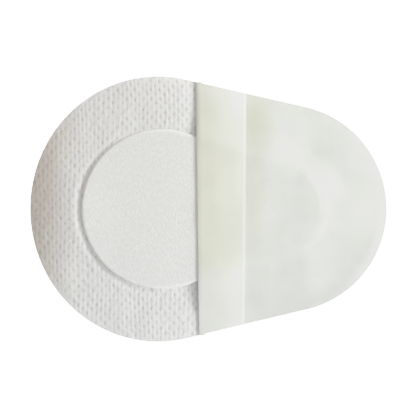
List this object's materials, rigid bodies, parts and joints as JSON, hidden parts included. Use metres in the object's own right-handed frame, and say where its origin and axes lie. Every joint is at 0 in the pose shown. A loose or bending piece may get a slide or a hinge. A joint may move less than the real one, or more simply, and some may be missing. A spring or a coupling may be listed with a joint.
{
  "type": "eye patch",
  "caption": "Egg-shaped adhesive eye pad lying skin side up, with an absorbent pad island and half of its release paper folded into a pull tab.",
  "frame": {"origin": "bottom centre of the patch's bounding box, on the underside of the backing", "axes": "+Z out of the skin side, +X along the length towards the narrow end, +Y across the width"},
  "size_m": [0.08, 0.0596, 0.0035],
  "materials": {
    "nonwoven": "matte",
    "adhesive": "satin",
    "felt": "matte",
    "facing": "matte",
    "release_paper": "satin"
  },
  "bodies": {
    "patch": {"backing": "nonwoven", "adhesive_coat": "adhesive", "pad_core": "felt", "pad_facing": "facing"},
    "tip_section": {"liner_tip": "release_paper"},
    "section_4": {"liner_strip_4": "release_paper"},
    "section_3": {"liner_strip_3": "release_paper"},
    "section_2": {"liner_strip_2": "release_paper"},
    "section_1": {"liner_strip_1": "release_paper"},
    "tab": {"pull_tab": "release_paper"}
  },
  "joints": [
    {"name": "liner_lift_off", "type": "slide", "parent": "patch", "child": "tip_section", "axis": [0, 0, 1], "range_m": [0, 0.03]},
    {"name": "peel_4", "type": "hinge", "parent": "tip_section", "child": "section_4", "pos_m": [0.03215, 0, 0.0012], "axis": [0, 1, 0], "range_deg": [0, 30]},
    {"name": "peel_3", "type": "hinge", "parent": "section_4", "child": "section_3", "pos_m": [0.0243, 0, 0.00305], "axis": [0, 1, 0], "range_deg": [0, 30]},
    {"name": "peel_2", "type": "hinge", "parent": "section_3", "child": "section_2", "pos_m": [0.01645, 0, 0.00305], "axis": [0, 1, 0], "range_deg": [0, 30]},
    {"name": "peel_1", "type": "hinge", "parent": "section_2", "child": "section_1", "pos_m": [0.0086, 0, 0.00305], "axis": [0, 1, 0], "range_deg": [0, 30]},
    {"name": "tab_unfold", "type": "hinge", "parent": "section_1", "child": "tab", "pos_m": [-0.0024, 0, 0.0032], "axis": [0, -1, 0], "range_deg": [0, 170]}
  ],
  "couplings": [
    {"joint": "peel_3", "follows": "peel_4", "ratio": 1},
    {"joint": "peel_2", "follows": "peel_4", "ratio": 1},
    {"joint": "peel_1", "follows": "peel_4", "ratio": 1}
  ]
}
